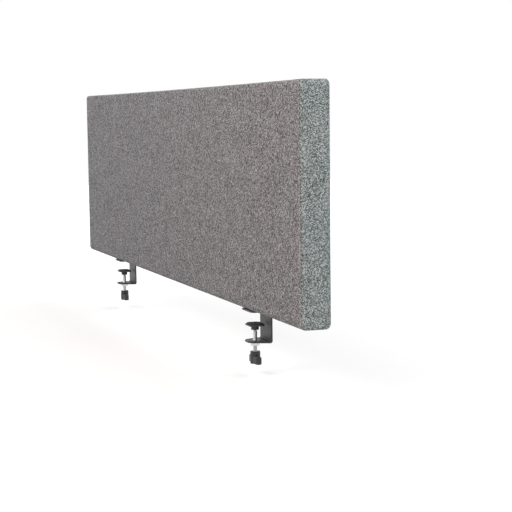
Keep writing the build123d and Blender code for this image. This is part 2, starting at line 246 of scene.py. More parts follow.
def on_top(warp, weft):
    """The warp's value where the warp lies on top, and the weft's value elsewhere."""
    return wires.plus(wires.times(warp, warp_on_top), wires.times(weft, weft_on_top))


print("crossings:", len(melange.nodes), "nodes")

# %% [markdown]
# The tone drifts along a yarn, and twisted fibres lie slanted in it. One random tone for each
# crossing would be simpler, but has no streaks, so a tone is mostly the yarn's own, with parts for
# the crossing, the fibres and slow clouds.

# %% The tones of the yarns
yarn_part, crossing_part, fibre_part, cloud_part = 0.66, 0.34, 0.55, 0.13


def yarn_tone(line, run, length, seed):
    """Soft noise at (17.31 * line, run / length, seed), spread by 2.4 around one half."""
    spot = wires.point(wires.times(line, 17.31), wires.math("DIVIDE", run, length), seed)
    return wires.times(wires.minus(wires.noise(spot, 1.0, 1.0), 0.5), 2.4, 0.5)


def twisted_fibres(degrees):
    """Streaks in one direction: noise at (a quarter of the place along it, place across it)."""
    slant = radians(degrees)
    ways = ((cos(slant), sin(slant), 0), (-sin(slant), cos(slant), 0))
    on, off = (wires.vector("DOT_PRODUCT", flat_place, way, out=1) for way in ways)
    return wires.noise(wires.point(wires.times(on, 0.25), off), 3200.0, 3.0, 0.6)


def stirred(tone, other, part):
    """The tone, moved by a part of how far another value lies from one half."""
    return wires.plus(tone, wires.times(wires.minus(other, 0.5), part))


weft_seed = wires.plus(given["Seed"], 11.0)
warp_tone = yarn_tone(column, up, given["Warp Fleck"], given["Seed"])
weft_tone = yarn_tone(row, along, given["Weft Fleck"], weft_seed)
crossing = wires.chance(wires.point(row, column, weft_seed))
yarn = wires.times(on_top(warp_tone, weft_tone), yarn_part)
tone = wires.plus(yarn, wires.times(crossing, crossing_part))
fibre = on_top(twisted_fibres(115), twisted_fibres(25))
cloud = wires.noise(flat_place, 22.0, 2.0, 0.6)
tone = stirred(stirred(tone, fibre, fibre_part), cloud, cloud_part)
tone = wires.times(wires.minus(tone, 0.5), given["Contrast"], 0.5)
print("tones:", len(melange.nodes), "nodes")

# %% [markdown]
# The tone picks the colour, from dark over base to light, and some stretches and patches are
# warmer. A colour ramp could do it, but its colours can't be a group's inputs, so blends do. A
# yarn is round and arches over its crossing. That relief goes to the bump, and darkens the gaps
# too, because a bump casts no shadow.

# %% The colours and relief of the weave
darker = wires.blend(wires.smooth(tone, 0.0, 0.55), given["Dark"], given["Base"])
lighter = wires.blend(wires.smooth(tone, 0.5, 1.0), darker, given["Light"])
patch = wires.smooth(wires.noise(flat_place, 9.0, 3.0, 0.6), 0.35, 0.65, 0.0, 0.5)
nine_crossings = wires.math("FLOOR", wires.math("DIVIDE", along, 9.0))
stretch = wires.times(wires.chance(wires.point(row, nine_crossings, 5.0)), 0.5)
warmed = wires.blend(1.0, lighter, given["Warm"], "MULTIPLY")
tinted = wires.blend(wires.plus(patch, stretch), lighter, warmed)

bow_warp, bow_weft = (wires.math("COSINE", wires.times(v, pi)) for v in (across_warp, across_weft))
arch_warp = wires.times(bow_warp, wires.times(bow_weft, 0.6, 0.4))
arch_weft = wires.times(bow_weft, wires.times(bow_warp, 0.6, 0.4))
height = wires.plus(on_top(arch_warp, arch_weft), wires.times(fibre, 0.3))
shadow = wires.smooth(height, 0.1, 0.85, 0.5, 1.08)
shadow_grey = wires.add("CombineColor", {"Red": shadow, "Green": shadow, "Blue": shadow})
wires.fill(result, {
    "Color": wires.blend(1.0, tinted, shadow_grey, "MULTIPLY"), "Height": height,
    "Roughness": wires.smooth(fibre, 0.3, 0.7, 0.86, 0.97),
})
print("melange weave:", len(melange.nodes), "nodes")

# %% [markdown]
# Along the seam the stitches pull the cloth into a dent at each stitch, and the turned-in edges
# beside them catch the light in patches. Both could be modelled, but are finer than any mesh here,
# so the shade in the dents is painted dark and the light on the edges is painted as a beige
# highlight. Each vertex knows how far it lies from the seam, and the finish reads that as an
# attribute.

# %% Painted shade and highlight at the stitches
stitch_length, soft_end = 7 * mm, 0.5 * mm
# Painted colours: shade in the stitch dents, and a highlight on the turned-in edges.
painted_notch_shade, painted_lip_highlight = (0.03, 0.033, 0.032, 1.0), (0.41, 0.42, 0.365, 1.0)


def band(wires, value, low, high):
    """1 where the value lies between low and high, with soft ends, and 0 elsewhere."""
    after = wires.smooth(value, low - soft_end, low)
    return wires.times(after, wires.smooth(value, high, high + soft_end, 1.0, 0.0))


def sewn(wires, color, notch_shade_band, lip_highlight_band):
    """A colour with painted shade at the stitch dents and a painted highlight on the turned-in edge,
    in two bands beside the seam, each as (from, to, strength). A sine of x + z, with a stitch's
    length, says where the thread pulls, and there painted shade darkens the cloth. Between, where
    slow noise lets it, a painted highlight lightens the turned-in edge."""
    seam = wires.add("Attribute", attribute_name="seam", out=2)
    place = wires.here()
    run = wires.vector("DOT_PRODUCT", place, (1, 0, 1), out=1)
    uneven = wires.times(wires.noise(place, 70.0, 1.0), 7.0)
    wave = wires.math("SINE", wires.times(run, 2 * pi / stitch_length, uneven))
    # Where the thread pulls the cloth in lies painted shade; between, in patches, a painted
    # highlight.
    pull = wires.smooth(wave, -0.2, 0.8)
    highlight_patches = wires.smooth(wires.noise(place, 16.0, 2.0, 0.6), 0.42, 0.58, 0.2, 1.0)
    lip_highlight_mask = wires.times(wires.times(pull, -0.6, 1.0), highlight_patches)
    # First the band of painted shade, then the band of painted highlight.
    for (low, high, strength), mark, tint in ((notch_shade_band, pull, painted_notch_shade), (lip_highlight_band, lip_highlight_mask, painted_lip_highlight)):
        share = wires.times(band(wires, seam, low, high), wires.times(mark, strength))
        color = wires.blend(share, color, tint)
    return color


print("stitches:", round(1 / stitch_length), "to the metre")

# %% [markdown]
# Front and rear are a mauve grey cloth whose close weft makes its flecks run along the panel. The
# border is greener, with rounder, stronger flecks. Wool is dull, so it gets little shine and a
# little sheen. On Object coordinates the weave would smear round the edges, so it lies in each
# piece's own chart.

# %% The two cloths


def new_material(name):
    """An empty material, its Principled shader already wired to the output, and the helper."""
    material = bpy.data.materials.new(name)
    material.use_nodes = True
    tree = material.node_tree
    return material, Wires(tree), tree.nodes["Principled BSDF"]


def cloth(name, yarns, notch_shade_band, lip_highlight_band):
    """Melange cloth by the values of its yarns, with painted shade and a painted highlight at its
    seam.
    """
    material, wires, shader = new_material(name)
    chart = wires.add("UVMap", uv_map="cloth")
    weave = wires.add("Group", {"Vector": chart, **yarns}, node_tree=melange).node.outputs
    wires.fill(shader, {
        "Base Color": sewn(wires, weave["Color"], notch_shade_band, lip_highlight_band), "Roughness": weave["Roughness"],
        "Specular IOR Level": 0.05, "Sheen Weight": 0.03, "Sheen Roughness": 0.6,
        "Normal": wires.bump(weave["Height"], 0.3 * mm, 0.6),
    })
    return material


# After the yarns: bands of painted dent shade and painted edge highlight, as (from, to, strength).
panel_cloth = cloth("panel cloth", {
    "Pitch": 0.0018, "Warp Share": 0.25, "Weft Fleck": 2.4, "Warp Fleck": 1.6, "Contrast": 2.5,
    "Dark": (0.060, 0.059, 0.063, 1), "Base": (0.177, 0.178, 0.185, 1),
    "Light": (0.387, 0.394, 0.407, 1), "Warm": (1.04, 0.985, 0.975, 1),
}, (-1.0 * mm, 0.6 * mm, 0.35), (0.9 * mm, 2.4 * mm, 0.65))
border_cloth = cloth("border cloth", {
    "Pitch": 0.0016, "Warp Share": 0.5, "Weft Fleck": 2.0, "Warp Fleck": 1.4, "Contrast": 1.95,
    "Dark": (0.064, 0.079, 0.077, 1), "Base": (0.211, 0.238, 0.232, 1),
    "Light": (0.50, 0.544, 0.532, 1), "Warm": (0.97, 0.99, 1.03, 1), "Seed": 4.0,
}, (2.1 * mm, 3.6 * mm, 1.0), (-1.0 * mm, 1.8 * mm, 0.5))
print("cloths:", panel_cloth.name, "and", border_cloth.name)

# %% [markdown]
# The panel is 400 mm high and 50 mm thick, and its padding pushes the faces out by 1 mm. Sizes
# could all be typed in, but what the frame's solids can tell is read there, and only the rest,
# such as the rounding, is written here, once.

# %% Sizes of the cover
front_low, border_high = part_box("cover_front")[0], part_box("cover_border")[1]
half_length, half_thickness = border_high.x, -front_low.y
panel_bottom, edge_rounding, cloth_thickness = front_low.z, 9.5 * mm, 1.2 * mm
panel_top = panel_bottom + 400 * mm
middle = Vector((0, 0, (panel_bottom + panel_top) / 2))
half_height = (panel_top - panel_bottom) / 2
border_turn, hem_gap, seam_allowance = 25 * mm, 8 * mm, 10 * mm
hem_end = half_length - border_turn
fullness = 1.0 * mm
flat_x, flat_z = half_length - edge_rounding, half_height - edge_rounding
flat_y = half_thickness + fullness - edge_rounding
print("panel", round(2 * half_length, 3), "x", round(2 * half_height, 3), "m")

# %% [markdown]
# A mesh is made here from whole arrays: a grid of points, the corners of each small face, and a
# flat chart of the cloth for the weave. It could be built face by face, but in a grid every row
# keeps its meaning, so a hem or a seam is just a row.

# %% Helpers for grids


def listed(*parts):
    """The arrays of one grid as a list, with a column for each array."""
    return np.stack(np.broadcast_arrays(*parts), axis=-1).reshape(-1, len(parts))


def grid_faces(rows, columns, close=False):
    """Corner numbers of the faces between the rows and columns of a grid, turned the same way;
    with close, the last column joins the first."""
    number = np.arange(rows * columns).reshape(rows, columns)
    ahead = np.roll(number, -1, axis=1) if close else number[:, 1:]
    here = number if close else number[:, :-1]
    return listed(here[:-1], ahead[:-1], ahead[1:], here[1:])


def new_piece(name, points, faces, chart=None, seam=None, keep=None):
    """A mesh piece from arrays. Chart is the flat place of each point in metres, seam its
    distance from the seam, and keep says which points of a charted piece are used."""
    if keep is not None:
        faces = faces[keep[faces].all(axis=1)]
        used, renumbered = np.unique(faces, return_inverse=True)
        points, chart, seam = points[used], chart[used], seam[used]
        faces = renumbered.reshape(faces.shape)
    mesh = bpy.data.meshes.new(name)
    mesh.from_pydata(points.tolist(), [], faces.tolist())
    if chart is not None:
        corners = np.empty(len(mesh.loops), np.int32)
        mesh.loops.foreach_get("vertex_index", corners)
        layer = mesh.uv_layers.new(name="cloth")
        layer.data.foreach_set("uv", chart[corners].astype(np.float32).ravel())
    if seam is not None:
        attribute = mesh.attributes.new("seam", "FLOAT", "POINT")
        attribute.data.foreach_set("value", seam.astype(np.float32))
    mesh.polygons.foreach_set("use_smooth", np.ones(len(mesh.polygons), bool))
    piece = bpy.data.objects.new(name, mesh)
    scene.collection.objects.link(piece)
    return piece


print("3 x 4 points make", len(grid_faces(3, 4)), "faces")

# %% [markdown]
# Each new piece gets a material, rides on a body and stands for a solid, which is hidden. The
# calls could stand beside each piece, but with one helper none is forgotten.

# %% Helpers that dress a piece


def give(piece, material):
    """One material for the whole piece."""
    piece.data.materials.clear()
    piece.data.materials.append(material)
    return piece


def dress(piece, material, body, node):
    """The piece gets its material, rides on a body, and stands for that solid."""
    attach(give(piece, material), body)
    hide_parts(node)
    return piece


print("solids to dress:", len(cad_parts))

# %% [markdown]
# The seam runs round the rounded edge: high on the top edge, but nearer to the face at the ends,
# where the cloth is pulled tighter. It could be drawn as a curve and cut out. Here it is an angle,
# by the direction outwards and the distance to the corner, so both grids end at the same line.

# %% Where the seam lies
seam_steps = np.array([0.14, 0.28, 0.42, 0.55, 0.67, 0.77, 0.86, 0.925, 0.96, 0.985, 1.0])
seam_at_ends, seam_at_top = radians(12), radians(62)
by_turning, by_distance, climb = 0.35, 0.65, 50 * mm


def eased(s):
    """A smooth step from 0 to 1: 3 s^2 - 2 s^3."""
    return 3 * s**2 - 2 * s**3


def panel_share(heading, to_corner):
    """The angle from the face to the seam, for a direction outwards, 0 at an end and a quarter
    turn at the top, and a distance along the edge to the panel's corner:
    ends + (top - ends) * (by_turning * eased(quarter turns) + by_distance * eased(climbs))."""
    turned = np.clip(np.abs(heading) / (pi / 2), 0, 1)
    gone = np.clip(to_corner / climb, 0, 1) * (turned > 0.999)
    rise = by_turning * eased(turned) + by_distance * eased(gone)
    return seam_at_ends + (seam_at_top - seam_at_ends) * rise


print("seam at", np.degrees(panel_share(np.radians([0, 45, 90]), 0.1)).round(1), "degrees")

# %% [markdown]
# The padded edge is squarer along the top than at the bottom, where the hem pulls it. The cloth
# dips at the seam, and its pull bows the top edge. Modifiers could bevel and bend a box, but these
# formulas are shared by all three pieces of the cover, so they fit each other.

# %% The shape of the edge
seam_dip, seam_reach = 0.75 * mm, 0.9 * mm
top_bow = 1.5 * mm


def squarer(angle, z):
    """How much further out than a round edge the padded one stands, 1 at both faces:
    (|cos a|^n + |sin a|^n)^(-1/n), the outline of a superellipse. The power n goes from 2, a
    circle, at the bottom of the panel to 2.8 at the top."""
    power = 2 + 0.4 * (1 + z / flat_z)
    return (np.abs(np.cos(angle)) ** power + np.abs(np.sin(angle)) ** power) ** (-1 / power)


def dip(distance):
    """How deep the sewn edge lies: a bell curve of the distance from the seam."""
    return seam_dip * np.exp(-((distance / seam_reach) ** 2))


def bow(x, z):
    """How far the cloth's pull lowers a point: fully at the middle of the top edge, less to the
    ends, as a parabola, and to the bottom, in proportion."""
    return top_bow * (1 - (x / half_length) ** 2) * (z - panel_bottom) / (panel_top - panel_bottom)


print("bow of the top", round(1000 * bow(0.0, panel_top), 2), "mm")

# %% [markdown]
# Padded cloth is never quite even. A noise texture could push it about, but random numbers
# smoothed over the grid itself need no texture, and one seed gives the same field on each run.

# %% Gentle unevenness
random = np.random.default_rng(20)


def soft_field(shape, widths, size):
    """A gentle random field on a grid: white noise whose waves are weakened by a bell curve,
    exp(-2 (pi * frequency * width)^2) with width in grid points, its largest value made size."""
    waves = np.fft.rfft2(random.normal(size=shape))
    down, across = np.fft.fftfreq(shape[0])[:, None], np.fft.rfftfreq(shape[1])[None, :]
    bell = np.exp(-2 * pi**2 * ((down * widths[0]) ** 2 + (across * widths[1]) ** 2))
    field = np.fft.irfft2(waves * bell, shape)
    return field * size / np.abs(field).max()


print("random numbers from", random)

# %% [markdown]
# The foam is a little too thick for its cover and pushes the face out. A formula could give a
# similar bulge, but not how it flattens along so long a sheet. So Blender's cloth lifts a coarse
# sheet, pinned all round, by a little pressure with gravity off. Only its rise is kept, scaled to
# what such foam gives.

# %% The rise of a held cloth
trial_rows, trial_columns, last_frame = 25, 81, 20


def lifted_cloth(half_u, half_v, most):
    """The rise of a sheet of that size, pinned round its edge, after some frames of cloth,
    scaled so that its largest value is the one given."""
    u = np.linspace(-half_u, half_u, trial_columns)
    v = np.linspace(-half_v, half_v, trial_rows)[:, None]
    points = listed(u, v, 0.0)
    sheet = new_piece("trial_sheet", points, grid_faces(trial_rows, trial_columns))
    at_edge = (np.abs(u) > half_u - 1e-6) | (np.abs(v) > half_v - 1e-6)
    pinned = np.flatnonzero(at_edge).tolist()
    sheet.vertex_groups.new(name="pinned").add(pinned, 1.0, "REPLACE")
    settings = sheet.modifiers.new("cloth", "CLOTH").settings
    settings.vertex_group_mass = "pinned"
    settings.use_pressure, settings.uniform_pressure_force = True, 4.0
    settings.effector_weights.gravity = 0.0
    for number in range(1, last_frame + 1):
        scene.frame_set(number)
    shown = sheet.evaluated_get(bpy.context.evaluated_depsgraph_get())
    place = np.empty(3 * len(points))
    shown.data.vertices.foreach_get("co", place)
    rise = np.abs(place.reshape(trial_rows, trial_columns, 3)[:, :, 2])
    print("rise in the trial", round(rise.max() * 1000, 2), "mm")
    bpy.data.objects.remove(sheet)
    scene.frame_set(1)
    return rise * most / rise.max()


def carried(rise, v, u):
    """The rise at any place of the panel's face: that of the coarse sheet's four nearest points,
    each weighted by how near it is along both directions."""
    down = (np.clip(v / flat_z, -1, 1) + 1) / 2 * (trial_rows - 1)
    along = (np.clip(u / flat_x, -1, 1) + 1) / 2 * (trial_columns - 1)
    i = np.minimum(down.astype(int), trial_rows - 2)
    j = np.minimum(along.astype(int), trial_columns - 2)
    s, t = down - i, along - j
    near, far = (rise[line, j] * (1 - t) + rise[line, j + 1] * t for line in (i, i + 1))
    return near * (1 - s) + far * s


lift_of_panel = lifted_cloth(flat_x, flat_z, 0.9 * mm)

# %% [markdown]
# Front and rear are one grid each, flat over the flat of the panel. Beyond it, each line follows
# the rounded edge by its share of the way to the seam. Below, more rows go round the edge to the
# hem, except near the ends, where the border does. A bevelled box would be quicker, but no line of
# it would follow the seam.

# %% The rows and columns of a panel
flat_columns, flat_rows = np.linspace(-flat_x, flat_x, 401), np.linspace(-flat_z, flat_z, 61)
hem_angles = np.radians([46, 47.5, 50, 54, 60, 67, 75, 83, 90])
hem_flat = np.linspace(0, flat_y - hem_gap / 2, 6)[1:]


def grid_lines(flat, reach):
    """The lines of one direction: where each starts, and its share of the way to the seam."""
    before, after = (np.full(len(seam_steps), end) for end in (-reach, reach))
    shares = np.concatenate([seam_steps[::-1], np.zeros(len(flat)), seam_steps])
    return np.concatenate([before, flat, after]), shares


column_start, column_share = grid_lines(flat_columns, flat_x)
row_start, row_share = grid_lines(flat_rows, flat_z)
hem_turn = np.concatenate([np.full(len(hem_flat), pi / 2), hem_angles[::-1]])
row_turn = np.pad(hem_turn, (0, len(row_start)))
row_under = np.pad(hem_flat[::-1], (0, len(hem_angles) + len(row_start)))
row_start = np.pad(row_start, (len(hem_turn), 0), constant_values=-flat_z)
row_share = np.pad(row_share, (len(hem_turn), 0), constant_values=1.0)
x0, z0 = np.meshgrid(column_start, row_start)
share_x, share_z = np.meshgrid(column_share, row_share)
turned, under = row_turn[:, None], row_under[:, None]
print("rows and columns of a panel", x0.shape)

# %% [markdown]
# At a corner the two roundings meet in a ball, and the grid's square corner is laid on it: the
# larger share gives the angle, and the direction of both where round the ball it goes. Each
# point's distance from the seam could be searched for on the mesh, but is exact from the same
# numbers.

# %% Angles and distances on a panel
heading, share = np.arctan2(share_z, share_x), np.maximum(share_x, share_z)
limit = panel_share(heading, flat_x - np.abs(x0))
angle = np.where(turned > 0, turned, share * limit)
to_end = flat_x - np.abs(x0) + edge_rounding * seam_at_ends
to_top = flat_z - np.abs(z0) + edge_rounding * seam_at_top
on_edge = edge_rounding * limit * (1 - share)
distance = np.where(share > 0, on_edge, np.minimum(to_end, to_top))
in_hem = (z0 < 0) & (np.abs(x0) < hem_end) & (share_z > 0)
round_edge = edge_rounding * np.maximum(limit - angle, 0)
distance = np.where(in_hem, np.hypot(hem_end - np.abs(x0), round_edge), distance)
print("furthest from the seam", round(distance.max(), 3), "m")

# %% [markdown]
# With these, a panel is one formula. The rear could be a mirrored copy of the front, but then both
# would be uneven alike, so each draws its own field.

# %% The panels of the cover


def cover_panel(name, side):
    """Front (side -1) or rear (side 1) cloth. A point of the ball corner or rounded edge is
    centre + radius * (sin t cos p, side * cos t, sin t sin p), with t the angle from the face
    and p the direction in the plane of the face."""
    radius = edge_rounding * squarer(angle, z0) - dip(distance)
    uneven = np.abs(soft_field(x0.shape, (6, 14), 0.4 * mm)) * np.clip(1 - share * 1.5, 0, 1)
    side_x, side_z = np.sign(x0), np.where(z0 < 0, -1.0, 1.0)
    x = x0 + side_x * radius * np.sin(angle) * np.cos(heading)
    z = middle.z + z0 + side_z * radius * np.sin(angle) * np.sin(heading)
    y = flat_y + radius * np.cos(angle) + (uneven + carried(lift_of_panel, z0, x0)) - under
    points = listed(x, side * y, z - bow(x, z))
    round_run = edge_rounding * angle
    chart = listed(x0 + side_x * round_run * np.cos(heading),
                   z0 + side_z * (round_run * np.sin(heading) + under))
    keep = (turned == 0) | ((np.abs(x0) <= hem_end + 0.1 * mm) & (share_x == 0))
    faces = grid_faces(*x0.shape)[:, ::-side]
    return new_piece(name, points, faces, chart, distance.ravel(), keep.ravel())


cover_front = cover_panel("cover_front_cloth", -1)
cover_rear = cover_panel("cover_rear_cloth", 1)
print("front panel:", len(cover_front.data.polygons), "faces")

# %% [markdown]
# The border is a strip about 46 mm wide, in under one end, up it, over the top, down the other and
# in under that. Three strips could meet at the corners, but one path that stands still there,
# while the direction outwards turns, makes each corner a ball.

# %% The path of the border


def border_path():
    """The path's places in the plane of the panel and its direction outwards in degrees, which
    is fixed on the straight runs and turns at the corners."""
    corner = np.linspace(0, 90, 13)[1:-1]
    rising = np.linspace(-flat_z, flat_z, 101)
    hem = np.linspace(hem_end, flat_x, 7)
    runs = [
        (hem, -flat_z, -90), (flat_x, -flat_z, corner - 90), (flat_x, rising, 0),
        (flat_x, flat_z, corner), (flat_columns[::-1], flat_z, 90), (-flat_x, flat_z, corner + 90),
        (-flat_x, rising[::-1], 180), (-flat_x, -flat_z, corner + 180), (-hem[::-1], -flat_z, 270),
    ]
    parts = zip(*(np.broadcast_arrays(*run) for run in runs))
    return tuple(np.concatenate(part) for part in parts)


path_x, path_z, outwards = border_path()
run_step = np.hypot(np.diff(path_x), np.diff(path_z))
run_step = run_step + edge_rounding * np.radians(np.diff(outwards))
border_run = np.concatenate([[0], np.cumsum(run_step)])
print("border:", round(border_run[-1], 3), "m long")

# %% [markdown]
# Its profile is part of a round, a flat and part of a round again, up to the panels' own share of
# the edge. A bevelled curve could carry a profile along the path, but not change it where the seam
# rises, so the strip is a grid too.

# %% The border of the cover
flat_points = 9


def border_strip(name):
    """A point is path + outwards * radius * cos a, and sideways flat_y + radius * sin a, with a
    the angle from the strip's middle, up to a quarter turn less the panel's own share."""
    heading = np.radians(outwards)[:, None]
    to_corner = (flat_x - np.abs(path_x))[:, None]
    limit = pi / 2 - panel_share(np.arcsin(np.abs(np.sin(heading))), to_corner)
    sideways, share = grid_lines(np.linspace(-flat_y, flat_y, flat_points), flat_y)
    angle = share * np.sign(sideways) * limit
    on_flat = np.where(share == 0, flat_y - np.abs(sideways), 0)
    distance = edge_rounding * (limit - np.abs(angle)) + on_flat
    swell = np.abs(soft_field(angle.shape, (5, 4), 0.3 * mm)) * (share < 0.6)
    radius = edge_rounding * squarer(angle, path_z[:, None]) - dip(distance) + swell
    x = path_x[:, None] + np.cos(heading) * radius * np.cos(angle)
    z = middle.z + path_z[:, None] + np.sin(heading) * radius * np.cos(angle)
    y = sideways + radius * np.sin(angle)
    chart = listed(sideways + edge_rounding * angle, border_run[:, None])
    faces = grid_faces(*angle.shape)
    return new_piece(name, listed(x, y, z - bow(x, z)), faces, chart, distance.ravel())


cover_border = border_strip("cover_border_cloth")
print("border:", len(cover_border.data.polygons), "faces")

# %% [markdown]
# The cover is real cloth, 1.2 mm thick. A second grid inside the first would do, but a Solidify
# modifier gives the same. The size that each piece was cut to is worked out too: its own, with
# 10 mm of allowance beyond each seam.

# %% Thickness and cut sizes


def thicken(piece, thickness):
    """Cloth of that thickness, grown inwards from the outside."""
    wall = piece.modifiers.new("thickness", "SOLIDIFY")
    wall.thickness, wall.offset, wall.use_even_offset = thickness, -1.0, False
    return piece


quarter, allowances = edge_rounding * pi / 2, 2 * seam_allowance
panel_cut = (2 * flat_x + quarter + allowances,
             2 * flat_z + 1.5 * quarter + flat_y - hem_gap / 2 + allowances)
border_cut = (2 * flat_y + quarter + allowances, float(border_run[-1]))
for piece, node, material, slot, cut, inner in (
    (cover_front, "cover_front", panel_cloth, "panel_cloth", panel_cut, "foam_front_sheet"),
    (cover_rear, "cover_rear", panel_cloth, "panel_cloth", panel_cut, "foam_rear_sheet"),
    (cover_border, "cover_border", border_cloth, "border_cloth", border_cut, "edge_pad_top_strip"),
):
    dress(thicken(piece, cloth_thickness), material, "screen", node)
print("cut sizes", [round(v, 3) for v in panel_cut + border_cut])

# %% [markdown]
# Under the cover lie foam sheets, foam strips on the frame's edges and felt batts in its bays.
# Simulation could swell them, but they are cut flat and held tight, so a formula is enough: two
# grids, back to back, that round off to a common edge. First comes one side.

# %% One side of a pad
plan_step = 9 * mm


def pad_half(half_u, half_v, corner, rounding, crown):
    """One side of a pad, as arrays of plan u, plan v and height. A point that lies inset from
    the outline is lower than the flat by rounding - root(rounding^2 - (rounding - inset)^2),
    and higher by the crown's cosine bell."""
    core_u, core_v = half_u - corner, half_v - corner
    over = corner - corner * (1 - np.sin(np.radians(np.linspace(0, 90, 8)[1:])))
    lines = []
    for core in (core_u, core_v):
        flat = np.linspace(-core, core, max(int(core / plan_step), 2))
        lines.append(np.concatenate([-core - over[::-1], flat, core + over]))
    u, v = np.meshgrid(*lines)
    a, b = np.maximum(np.abs(u) - core_u, 0), np.maximum(np.abs(v) - core_v, 0)
    out, spread = np.maximum(a, b), np.hypot(a, b)
    spread = np.where(spread > 0, spread, 1)
    plan_u = np.sign(u) * (np.minimum(np.abs(u), core_u) + out * a / spread)
    plan_v = np.sign(v) * (np.minimum(np.abs(v), core_v) + out * b / spread)
    short = np.maximum(rounding - (corner - out), 0)
    drop = rounding - np.sqrt(np.maximum(rounding**2 - short**2, 0))
    plans = ((plan_u, half_u), (plan_v, half_v))
    bell_u, bell_v = (np.cos(np.clip(plan / half, -1, 1) * pi / 2) for plan, half in plans)
    return plan_u, plan_v, crown * bell_u * bell_v - drop


print("side of a small pad:", pad_half(0.1, 0.1, 5 * mm, 5 * mm, 0.0)[0].shape)

# %% [markdown]
# The foam sheets' outer sides fill the cloth where it has risen, and the batts swell a little.
# Each pad could be shaped by hand, but the eleven differ only in size and rounding, so one
# function makes them all.

# %% Whole pads
ramp, filling = 20 * mm, 0.95


def pad(node, kind, axes, rounding, material, slot, crown=0.0, lifting=0):
    """A closed pad in the box of its solid. Axes names the plan's two directions and the
    thickness; rounding is that of its low and its high side. Lifting is -1 or 1 for a side that
    fills the risen cloth, by filling * rise from a ramp inwards."""
    low, high = (np.array(v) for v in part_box(node))
    centre, half = (low + high) / 2, (high - low) / 2
    order = ["xyz".index(axis) for axis in axes]
    half_u, half_v, half_t = half[order]
    sides = []
    for sign, radius in zip((-1, 1), rounding):
        u, v, height = pad_half(half_u, half_v, max(rounding), radius, crown)
        edge = half_t * sign - sign * (crown - height)
        if sign == lifting:
            inside = np.clip(np.minimum(half_u - np.abs(u), half_v - np.abs(v)) / ramp, 0, 1)
            rise = fullness + carried(lift_of_panel, centre[2] + v - middle.z, u)
            edge = edge + sign * filling * inside * rise
        local = np.empty((u.size, 3))
        local[:, order] = listed(u, v, edge)
        sides.append(local + centre)
    points, faces = np.concatenate(sides), grid_faces(*u.shape)
    rim = np.arange(u.size).reshape(u.shape)
    ring = np.concatenate([rim[0], rim[1:, -1], rim[-1, -2::-1], rim[-2:0:-1, 0]])
    after = np.roll(ring, -1)
    wall = np.stack([ring, after, after + u.size, ring + u.size], axis=-1)
    faces = np.concatenate([faces[:, ::-1], faces + u.size, wall])
    if slot == "foam":
        points[:, 2] -= bow(points[:, 0], points[:, 2])
    piece = weld(new_piece(f"{node}_{kind}", points, face_outwards(points, faces)))
    dress(piece, material, "screen", node)
    print(piece.name, len(piece.data.polygons), "faces")


def weld(piece, distance=0.02 * mm):
    """Merges points that lie together, such as the poles of a turned shape."""
    work = bmesh.new()
    work.from_mesh(piece.data)
    bmesh.ops.remove_doubles(work, verts=work.verts, dist=distance)
    bmesh.ops.dissolve_degenerate(work, edges=work.edges, dist=distance / 4)
    work.to_mesh(piece.data)
    work.free()
    return piece


def face_outwards(points, faces):
    """The faces of a closed shape, turned over if its volume, the sum of the pyramids from the
    origin to each face, comes out negative."""
    a, b, c, d = (points[faces[:, i]] for i in range(4))
    volume = np.sum(a * (np.cross(b, c) + np.cross(c, d)))
    return faces if volume > 0 else faces[:, ::-1]


print("the foam rises by", round(1000 * (fullness + lift_of_panel.max()), 2), "mm at most")

# %% [markdown]
# Foam has open cells and felt has fibres. Both are noise at the right size: cells of about a
# millimetre, and finer, stretched streaks. A cell pattern would be truer for foam, but reads the
# same at this size and bakes slower.

# %% Foam and felt


def shade(color, factor):
    """A colour made darker or lighter by a factor, and no part of it over 1."""
    return (*[min(c * factor, 1) for c in color], 1)


def plain_finish(name, color, roughness, scale, spread, relief, stretch=(1, 1, 1), metallic=0.0):
    """One layer of noise, which moves the colour by spread and the roughness by 0.06 each way
    and gives a bump of relief mm. Stretch squeezes it along an axis to make fibre."""
    material, wires, shader = new_material(name)
    place = wires.add("Mapping", {"Vector": wires.here(), "Scale": stretch})
    grain = wires.noise(place, scale, 4.0, 0.65)
    darkest, lightest = shade(color, 1 - spread), shade(color, 1 + spread)
    dullest = min(roughness + 0.06, 1)
    wires.fill(shader, {
        "Base Color": wires.blend(wires.smooth(grain, 0.3, 0.7), darkest, lightest),
        "Roughness": wires.smooth(grain, 0.2, 0.8, roughness - 0.06, dullest),
        "Metallic": metallic, "Normal": wires.bump(grain, relief * mm),
    })
    return material


foam = plain_finish("foam", (0.62, 0.60, 0.50), 0.92, 900.0, 0.16, 0.5)
felt = plain_finish("absorber felt", (0.45, 0.46, 0.47), 0.94, 420.0, 0.3, 0.6, (1, 3, 2))
print("fillings:", foam.name, "and", felt.name)

# %% [markdown]
# A foam sheet is rounded where the cover goes round it, an edge strip away from the frame, and a
# batt all round. A bevel would round both sides alike, so each side has a radius of its own, the
# low side's first.

# %% The foam sheets, the batts and the edge strips
for face, outer in (("front", -1), ("rear", 1)):
    rounding = (0.6 * mm, 7.2 * mm)[::outer]
    pad(f"foam_{face}", "sheet", "xzy", rounding, foam, "foam", lifting=outer)
    for bay in ("left", "middle", "right"):
        pad(f"absorber_{face}_{bay}", "batt", "xzy", (2 * mm, 2 * mm), felt, "absorber_felt",
            crown=1.5 * mm)
for edge, axes, rounding in (
    ("top", "xyz", (0.5 * mm, 4.8 * mm)),
    ("left", "yzx", (4.8 * mm, 0.5 * mm)),
    ("right", "yzx", (0.5 * mm, 4.8 * mm)),
):
    pad(f"edge_pad_{edge}", "strip", axes, rounding, foam, "foam")

# %% [markdown]
# A strip of thin black non-woven cloth closes the panel from below and hides the staples. It could
# be the solid with a finish, but cloth is thinner and softer, so a thin grid stands for it, 3 mm
# past the hems' ends.

